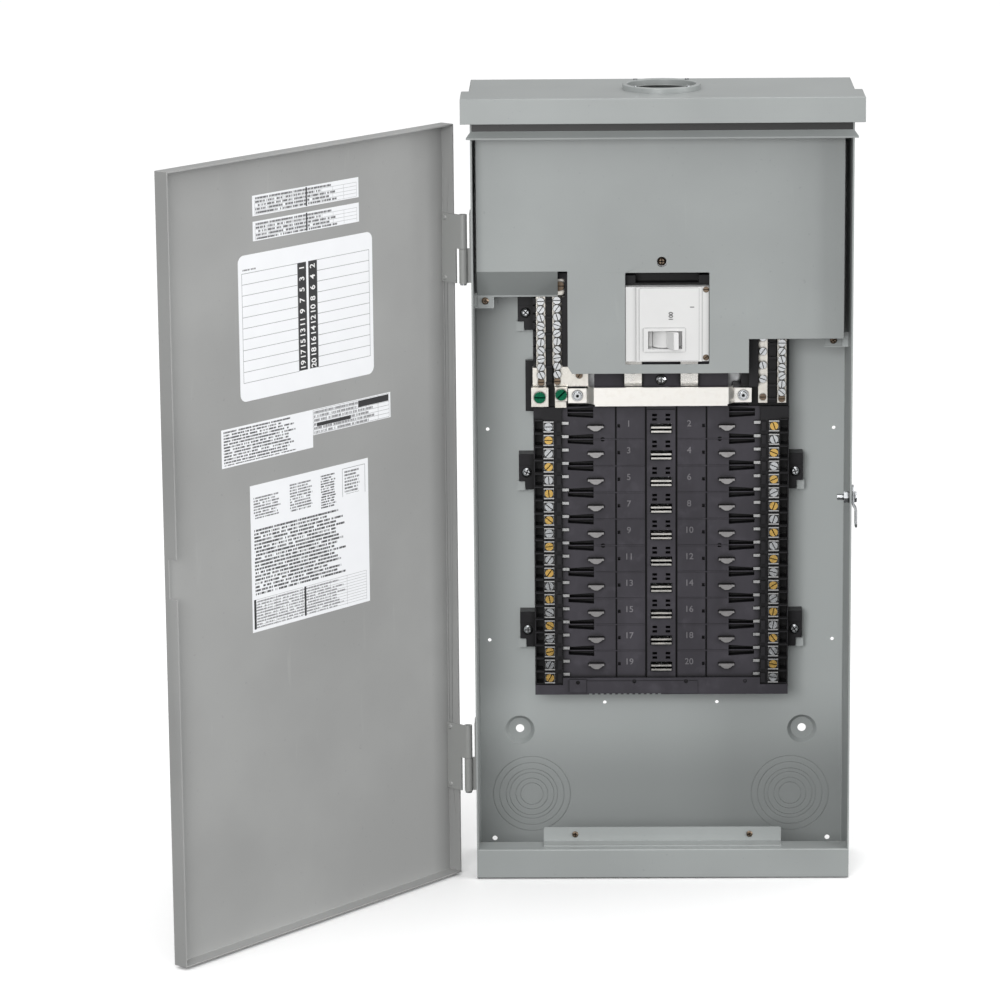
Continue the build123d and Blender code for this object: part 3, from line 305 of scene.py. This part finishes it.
# %% Moulded black plastic
def moulding(name, colour, dull):
    plastic = Finish(name)
    flow = plastic.noise(0.03, detail=5, stretch=(1, 1, 0.4))
    grain = plastic.noise(0.0008, detail=2, seed=5)
    dust = plastic.ease(plastic.noise(0.012, detail=6, seed=9), 0.5, 0.8)
    pale = tuple(2.2 * c + 0.008 for c in colour)
    tone = plastic.mix(plastic.ease(flow, 0.35, 0.7), colour, tuple(1.35 * c for c in colour))
    tone = plastic.mix(dust * 0.3, tone, pale)
    # painted shade: the colour darkens in every crevice
    plastic.give("Base Color", plastic.mix(plastic.crevice(0.008), tone, tuple(0.15 * c for c in colour)))
    plastic.give("Specular IOR Level", 0.25)
    plastic.give("Roughness", flow * 0.2 + (dull - 0.1) + dust * 0.1)
    return plastic.bump(grain * 0.6 + flow * 0.4, 0.00003)


base_plastic = moulding("interior_black_moulding", (0.034, 0.0315, 0.038), 0.5)
block_plastic = moulding("terminal_black_moulding", (0.011, 0.0105, 0.012), 0.4)
breaker_body = moulding("breaker_case_moulding", (0.006, 0.006, 0.007), 0.5)
dress(base_plastic, "interior_base", "lower_trim")
dress(block_plastic, "terminal_block_left", "terminal_block_right", "bar_carrier_left", "bar_carrier_right")
dress(block_plastic, "mounting_feet")
dress(breaker_body, "breaker_base")

# %% [markdown]
# ## White breaker cover
# The main breaker's cover and handle are white plastic with a satin skin. White hides little, so
# the finish needs only slight yellowing clouds, fine moulding grain, and painted shade in its steps and seams.

# %% White plastic
breaker_white = Finish("breaker_white_plastic")
white_clouds = breaker_white.noise(0.03, detail=4)
white_grain = breaker_white.noise(0.0006, detail=2, seed=2)
white_tone = breaker_white.mix(white_clouds, (0.60, 0.60, 0.595), (0.66, 0.66, 0.655))
# painted shade: darker in the steps and seams
step_shade = breaker_white.crevice(0.002) * 0.7
breaker_white.give("Base Color", breaker_white.mix(step_shade, white_tone, (0.2, 0.2, 0.2)))
breaker_white.give("Roughness", white_clouds * 0.12 + 0.34)
breaker_white.bump(white_grain, 0.00002)
dress(breaker_white, "breaker_cover", "breaker_toggle")

# %% [markdown]
# ## Plated metals
# Bars, screws and straps are plated so that they conduct and don't rust. All platings share one
# recipe: a metal whose roughness follows fine draw lines and whose colour clouds where it tarnished,
# with painted shade in the screw slots and under the heads. Only colour, roughness and the lines' direction
# differ, so one function makes them all.

# %% Plated metal
def plating(name, colour, tarnish, rough, lines=(1, 1, 1)):
    """Plated metal, with painted shade in screw slots, under heads and along seams."""
    metal = Finish(name, metallic=1.0)
    drawn = metal.noise(0.0012, detail=4, stretch=lines)
    stain = metal.ease(metal.noise(0.008, detail=5, seed=4), 0.45, 0.75)
    tone = metal.mix(stain * 0.7, colour, tarnish)
    # painted shade: the colour darkens in slots, under heads and along seams
    metal.give("Base Color", metal.mix(metal.crevice(0.0035), tone, tuple(0.03 * c for c in colour)))
    metal.give("Roughness", drawn * 0.22 + (rough - 0.11) + stain * 0.12)
    return metal.bump(drawn, 0.00002)


bright_tin = plating("bright_tin_plate", (0.86, 0.84, 0.80), (0.66, 0.63, 0.58), 0.26, (0.15, 1, 1))
strap_tin = plating("strap_tin_plate", (0.84, 0.82, 0.78), (0.78, 0.755, 0.71), 0.42, (0.1, 1, 1))
clamp_steel = plating("clamp_steel", (0.62, 0.62, 0.62), (0.34, 0.34, 0.35), 0.30)
bar_metal = plating("tinned_bar", (0.83, 0.80, 0.74), (0.60, 0.56, 0.50), 0.30, (1, 1, 0.2))
zinc = plating("bright_zinc_plate", (0.80, 0.82, 0.84), (0.56, 0.58, 0.60), 0.2)
yellow_chromate = plating("yellow_chromate_plate", (0.92, 0.60, 0.18), (0.70, 0.42, 0.12), 0.24)
dark_bronze = plating("dark_bronze_plate", (0.20, 0.15, 0.11), (0.10, 0.08, 0.06), 0.35)
hook_steel = plating("spring_steel", (0.42, 0.41, 0.41), (0.26, 0.25, 0.25), 0.33)
galvanised = plating("galvanised_sheet", (0.62, 0.63, 0.64), (0.48, 0.49, 0.50), 0.38)
green_dye = plating("green_dyed_plate", (0.012, 0.15, 0.075), (0.008, 0.07, 0.04), 0.26)
dress(strap_tin, "neutral_strap")
dress(bright_tin, "breaker_load_straps", "bus_bar_left", "bus_bar_right")
dress(clamp_steel, "terminal_clamps_left", "terminal_clamps_right")
dress(bar_metal, "bar_left_inner", "bar_left_outer", "bar_right_inner", "bar_right_outer", "bonding_lugs")
dress(bar_metal, "breaker_line_lugs")
dress(zinc, "zinc_screws", "bar_screws", "feet_screws", "hub_screws", "strap_screws", "latch_hasp")
dress(zinc, "latch_bolt", "latch_nut", "breaker_strap_screws", "hinge_lower_pin", "hinge_upper_pin")
dress(yellow_chromate, "brass_screws")
dress(dark_bronze, "anchor_screws", "breaker_lug_screws", "deadfront_screws", "bracket_screws")
dress(dark_bronze, "breaker_cover_screws")
dress(hook_steel, "breaker_hooks_left", "breaker_hooks_right")
dress(galvanised, "interior_pan")
dress(green_dye, "bonding_screws")

# %% [markdown]
# ## Painted hinges
# The hinge leaves went through the same spray booth as the cabinet, but their paint rubs off where
# the knuckles turn. Bare steel shows through at patches, so metallic follows the same mask as colour.

# %% Hinge paint with rubbed steel
hinge_paint = Finish("rubbed_hinge_paint")
hinge_clouds = hinge_paint.noise(0.01, detail=5)
rubbed = hinge_paint.ease(hinge_clouds, 0.70, 0.78)
hinge_paint.give("Base Color", hinge_paint.mix(rubbed, (0.27, 0.275, 0.268), (0.45, 0.45, 0.45)))
hinge_paint.give("Metallic", rubbed)
hinge_paint.give("Roughness", hinge_clouds * 0.2 + 0.3)
hinge_paint.bump(1 - rubbed, 0.00005)
dress(hinge_paint, "hinge_lower_box_leaf", "hinge_upper_box_leaf", "hinge_lower_door_leaf")
dress(hinge_paint, "hinge_upper_door_leaf", "hinge_rivets")

# %% [markdown]
# ## Printed labels
# The door carries four stickers. Their print is too fine to model letter by letter, and real wording
# would be someone's text, so it is drawn as ink in the shader: rows a few millimetres apart, broken
# into words by noise. Each sticker's own left-right and up-down distances come from the door's
# direction, worked out from its hinge joint, so the print stays put when the door swings.

# %% Ink on a sticker
door_turn = np.radians(joints["door_hinge"]["range_deg"][1])
DOOR_RIGHT = Vector((-np.cos(door_turn), np.sin(door_turn), 0))
DOOR_NORMAL = Vector((np.sin(door_turn), np.cos(door_turn), 0))
PAPER = (0.80, 0.81, 0.83)
INK = (0.02, 0.02, 0.022)


def sticker_middle(node):
    low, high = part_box(node)
    return (low + high) / 2


class Print:
    """Ink on one sticker; u runs to the right and v upwards from the sticker's middle, in mm."""

    def __init__(self, name, node):
        self.film = Finish(name)
        middle = sticker_middle(node)
        self.u = self.film.along(DOOR_RIGHT, middle) * 1000
        self.v = self.film.along((0, 0, 1), middle) * 1000
        self.ink = self.u * 0.0

    def area(self, left, right, low, high):
        return self.u.within(left, right) * self.v.within(low, high)

    def solid(self, left, right, low, high):
        self.ink = self.ink.either(self.area(left, right, low, high))

    def writing(self, left, right, low, high, pitch, weight=0.5):
        """Rows of ink: letters from fine noise, words from coarser noise, ragged at the right."""
        row = ((high - self.v) / pitch).floor()
        across = ((high - self.v) / pitch).part().within(0.22, 0.80)
        sockets = {"X": self.u * 1.1, "Y": row * 5.3, "Z": 0.0}
        letters = self.texture(sockets) > 0.42
        words = self.texture({"X": self.u * 0.22, "Y": row * 3.1, "Z": 4.0}) > 0.36
        ragged = self.texture({"X": 0.5, "Y": row * 9.7, "Z": 8.0}) * (right - left) * 0.5
        inked = across * letters * words * (self.u < right - ragged)
        self.ink = self.ink.either(inked * self.area(left, right, low, high) * weight)

    def texture(self, sockets):
        spot = self.film.node("ShaderNodeCombineXYZ", {}, sockets)
        return self.film.node("ShaderNodeTexNoise", {}, {"Vector": spot, "Scale": 1.0, "Detail": 1.0})

    def rules(self, left, right, low, high, pitch, columns, weight=0.7, width=0.5):
        """A ruled table: level lines pitch apart and an upright line at each column."""
        level = ((high - self.v) / pitch).part() < width / pitch
        upright = self.u * 0.0
        for column in (left, right - width, *columns):
            upright = upright.either(self.u.within(column, column + width))
        table = level.either(upright) * self.area(left, right, low, high + 0.01)
        self.ink = self.ink.either(table * weight)

    def finish(self):
        film = self.film
        clouds = film.noise(0.02, detail=3)
        paper = film.mix(clouds, tuple(0.95 * c for c in PAPER), PAPER)
        film.give("Base Color", film.mix(self.ink, paper, INK))
        film.give("Roughness", clouds * 0.1 + 0.32 + self.ink * 0.1)
        return film.bump(clouds, 0.0001)


# %% [markdown]
# ## Circuit directory
# The largest sticker is the circuit directory: ten ruled lines on each side of two black columns
# that carry the circuit numbers.

# %% Directory print
LINE_PITCH = 9.68
LINES_TOP = 48.9
ODD_COLUMN = (-11.0, -0.2)
EVEN_COLUMN = (2.6, 13.4)
directory = Print("directory_sticker", "circuit_directory")
lines_low = LINES_TOP - 10 * LINE_PITCH
directory.rules(-81.4, ODD_COLUMN[0], lines_low - 0.5, LINES_TOP, LINE_PITCH, ())
directory.rules(EVEN_COLUMN[1], 81.4, lines_low - 0.5, LINES_TOP, LINE_PITCH, ())
directory.solid(*ODD_COLUMN, lines_low, LINES_TOP)
directory.solid(*EVEN_COLUMN, lines_low, LINES_TOP)
directory.writing(-80, -58, LINES_TOP + 1.5, LINES_TOP + 4, 2.5, 0.7)
dress(directory.finish(), "circuit_directory")

# %% [markdown]
# ## The other stickers
# The instruction sheet, the ratings and the two wire tables are columns of small print, ruled tables
# and black bars, so each is a short list of areas in millimetres from its own middle.

# %% Instruction sheet, ratings and wire tables
sheet = Print("instruction_sticker", "instruction_sheet")
sheet.writing(-72, -30, 36, 56, 2.6, 0.8)
sheet.writing(-26, 10, 34, 60, 2.6, 0.8)
sheet.writing(14, 38, 30, 61, 2.4, 0.9)
sheet.rules(42, 72, 36, 62, 26, ())
sheet.writing(45, 70, 38, 60, 3.0, 0.8)
sheet.writing(-72, 72, -34, 27, 3.2, 0.95)
sheet.rules(-72, -12, -64, -37, 2.6, (-60, -46, -32), 0.5, 0.4)
sheet.rules(-8, 72, -64, -37, 2.6, (4, 24, 46), 0.5, 0.4)
sheet.writing(-71, 71, -63, -38, 2.6, 0.7)
sheet.solid(-74, -71.2, -64, -37)
sheet.solid(-9.6, -7.2, -64, -37)
dress(sheet.finish(), "instruction_sheet")

ratings = Print("ratings_sticker", "ratings_label")
ratings.writing(-106, 6, -15.5, 15.8, 2.7, 0.9)
ratings.rules(7, 107, -5.5, 16.5, 3.6, (24, 42, 60, 76, 92), 0.6, 0.4)
ratings.writing(8, 106, -5, 16, 3.6, 0.7)
ratings.solid(66, 106, 9.6, 15.6)
ratings.solid(12, 56, 1.0, 4.4)
dress(ratings.finish(), "ratings_label")

tables = Print("wire_table_stickers", "wire_table_labels")
for low, high in ((1.9, 20.0), (-20.0, -2.8)):
    tables.rules(-65, 65, low + 1, high - 4, 3.2, (-46, -30, -12, 20, 34, 48), 0.45, 0.4)
    tables.writing(-64, 64, low + 1, high - 1, 3.2, 0.85)
    tables.solid(-0.6, 1.2, low + 0.6, high - 0.6)
dress(tables.finish(), "wire_table_labels")

# %% [markdown]
# ## Numbers
# Circuit numbers are moulded into the black base and printed on the directory, and the breaker's
# cover carries its rating and an on mark. Blender's text object gives the outlines; each becomes a
# mesh a few tenths of a millimetre thick or less, placed by a matrix.

# %% Raised figures
def figures(name, words, height, thickness, finish, body):
    """One mesh of flat figures; words is a list of (text, matrix) and height the capitals' height."""
    joined = bmesh.new()
    for text, matrix in words:
        curve = bpy.data.curves.new(name, "FONT")
        curve.body = text
        curve.size = height / 0.7
        curve.extrude = thickness / 2
        curve.offset = height * 0.02
        curve.align_x = "CENTER"
        curve.align_y = "CENTER"
        writer = bpy.data.objects.new(name, curve)
        bpy.context.scene.collection.objects.link(writer)
        bpy.context.view_layer.update()
        mesh = bpy.data.meshes.new_from_object(writer)
        mesh.transform(matrix)
        joined.from_mesh(mesh)
        bpy.data.objects.remove(writer)
        bpy.data.meshes.remove(mesh)
    bmesh.ops.remove_doubles(joined, verts=joined.verts, dist=0.000001)
    bmesh.ops.recalc_face_normals(joined, faces=joined.faces)
    mesh = bpy.data.meshes.new(name)
    joined.to_mesh(mesh)
    joined.free()
    return place(name, mesh, finish, body)


def place(name, mesh, finish, body):
    """Links a finished mesh, gives it its finish and lets it ride on a body."""
    piece = bpy.data.objects.new(name, mesh)
    bpy.context.scene.collection.objects.link(piece)
    mesh.materials.append(finish.material)
    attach(piece, body)
    print(name, len(mesh.polygons), "faces")
    return piece


def facing(spot, right=Vector((1, 0, 0)), upward=Vector((0, 0, 1))):
    """A matrix that stands flat text at spot, with its x along right and its y along upward."""
    outward = right.cross(upward)
    matrix = Matrix((right, upward, outward)).transposed().to_4x4()
    matrix.translation = spot
    return matrix


# %% [markdown]
# ## The moulded circuit numbers
# Odd numbers run down the left and even numbers down the right, one pair to a breaker space. Their
# heights follow the first space's mount, so they stay level with the stabs.

# %% Circuit numbers in the moulding
ROW_PITCH = 0.0254
ROWS = 10
STRAP_PROUD = 0.017
base_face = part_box("neutral_strap")[0].y + STRAP_PROUD
first_row = frame["record"]["mounts"][-1]["pos_m"][2]
row_heights = first_row - ROW_PITCH * np.arange(ROWS)
number_tone = moulding("moulded_number", (0.13, 0.125, 0.135), 0.35)
moulded = []
for row, height in enumerate(row_heights):
    for x, number in ((-0.0302, 2 * row + 1), (0.026, 2 * row + 2)):
        moulded.append((str(number), facing(Vector((x, base_face - 0.0001, height + 0.0018)))))
figures("circuit_numbers", moulded, 0.0058, 0.0003, number_tone, "enclosure")

# %% [markdown]
# ## The breaker's rating
# The cover is marked with its rating and an on mark, printed so that they read upwards. Both are
# placed from the cover's lower left corner.

# %% Rating on the breaker cover
cover_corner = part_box("breaker_cover")[0]
UPRIGHT, LEFTWARD = Vector((0, 0, 1)), Vector((-1, 0, 0))
rating_spot = cover_corner + Vector((0.0415, 0.0009, 0.0423))
on_spot = cover_corner + Vector((0.0609, 0.0009, 0.0508))
mark_ink = Finish("marking_ink", 0.45)
mark_ink.give("Base Color", mark_ink.mix(mark_ink.noise(0.002), (0.04, 0.04, 0.042), (0.08, 0.08, 0.082)))
marks = [("100", facing(rating_spot, UPRIGHT, LEFTWARD)), ("I", facing(on_spot, UPRIGHT, LEFTWARD))]
figures("breaker_rating", marks, 0.0038, 0.0002, mark_ink, "enclosure")

# %% [markdown]
# ## The directory's numbers
# The two black columns hold the same numbers in white, turned to read upwards, one to a ruled line.

# %% Numbers on the directory
white_print = Finish("white_print", 0.4)
white_print.give("Base Color", white_print.mix(white_print.noise(0.002), (0.72, 0.72, 0.72), (0.9, 0.9, 0.9)))
directory_middle = sticker_middle("circuit_directory") + 0.0002 * DOOR_NORMAL
printed = []
for row in range(ROWS):
    for column, number in ((ODD_COLUMN, 2 * row + 1), (EVEN_COLUMN, 2 * row + 2)):
        across = sum(column) / 2000
        height = (LINES_TOP - LINE_PITCH * (row + 0.5)) / 1000
        spot = directory_middle + across * DOOR_RIGHT + Vector((0, 0, height))
        printed.append((str(number), facing(spot, Vector((0, 0, 1)), -DOOR_RIGHT)))
figures("directory_numbers", printed, 0.0060, 0.0001, white_print, "door")

# %% [markdown]
# ## Studio
# A plain pale floor, a large soft light in front with a weak one below it, one from the left, two
# from the right, and a sky that brightens upwards. The large lights matter most for the plated
# parts: metal shows only what it reflects.

# %% Floor, lights and camera
def floor_mesh(half, height):
    """A flat square grid at a height, 9 by 9 points."""
    line = np.linspace(-half, half, 9)
    x, y = np.meshgrid(line, line)
    points = np.stack([x, y, np.full_like(x, height)], axis=-1).reshape(-1, 3)
    corner = (np.arange(8)[:, None] * 9 + np.arange(8)).ravel()
    faces = np.stack([corner, corner + 1, corner + 10, corner + 9], axis=-1)
    mesh = bpy.data.meshes.new("studio_floor")
    mesh.from_pydata(points.tolist(), [], faces.tolist())
    return mesh


floor = bpy.data.objects.new("studio_floor", floor_mesh(30.0, cad_bounds[0][2] - 0.001))
bpy.context.scene.collection.objects.link(floor)
pale = Finish("pale_floor", 0.9)
pale.give("Base Color", pale.mix(pale.noise(0.5), (0.94, 0.94, 0.94), (0.96, 0.96, 0.96)))
floor.data.materials.append(pale.material)


def softbox(name, spot, aim, width, height, power):
    light = bpy.data.lights.new(name, "AREA")
    light.shape = "RECTANGLE"
    light.size = width
    light.size_y = height
    light.energy = power
    lamp = bpy.data.objects.new(name, light)
    bpy.context.scene.collection.objects.link(lamp)
    lamp.location = spot
    lamp.rotation_euler = (Vector(aim) - Vector(spot)).to_track_quat("-Z", "Y").to_euler()


softbox("front_wall", (-0.7, -3.15, 0.8), (0, 0, 0), 1.5, 1.2, 60)
softbox("low_front", (0, -3.0, -0.3), (0, 0, 0), 2.2, 0.9, 4)
softbox("key_left", (-1.8, -2.6, 1.6), (0, 0, 0), 1.4, 1.4, 4)
softbox("right_fill", (3.3, -1.1, 0.5), (-0.35, -0.25, -0.1), 1.2, 2.4, 48)
softbox("right_front", (2.0, -1.5, 0.2), (-0.3, -0.1, -0.25), 0.5, 1.2, 14)
floor.visible_diffuse = False
floor.visible_glossy = False
world = bpy.data.worlds.new("studio_sky")
world.use_nodes = True
sky = Graph(world.node_tree)
direction = sky.node("ShaderNodeTexCoord", out="Generated")
height = sky.node("ShaderNodeSeparateXYZ", {}, {0: direction}, out="Z")
glow = sky.node("ShaderNodeMapRange", {}, {0: height, 1: 0.0, 2: 1.0, 3: 0.10, 4: 1.6})
sky.wire(glow, world.node_tree.nodes["Background"].inputs["Strength"])
sky.wire((1, 1, 1), world.node_tree.nodes["Background"].inputs["Color"])
bpy.context.scene.world = world
bpy.context.scene.view_settings.view_transform = "Standard"

camera_lens = bpy.data.cameras.new("camera")
camera_lens.lens = 163.6
camera_lens.sensor_width = 36
camera_lens.clip_end = 100
camera = bpy.data.objects.new("camera", camera_lens)
bpy.context.scene.collection.objects.link(camera)
camera.location = (-0.0702, -4.1727, 0.9269)
TURN, PITCH, ROLL = -0.0194, 0.2253, -0.009
turned = Matrix.Rotation(-TURN, 3, "Z")
tilted = Matrix.Rotation(np.pi / 2 - PITCH, 3, "X")
rolled = Matrix.Rotation(ROLL, 3, "Z")
camera.rotation_euler = (turned @ tilted @ rolled).to_euler()
bpy.context.scene.camera = camera
print("camera", tuple(round(v, 4) for v in camera.rotation_euler))
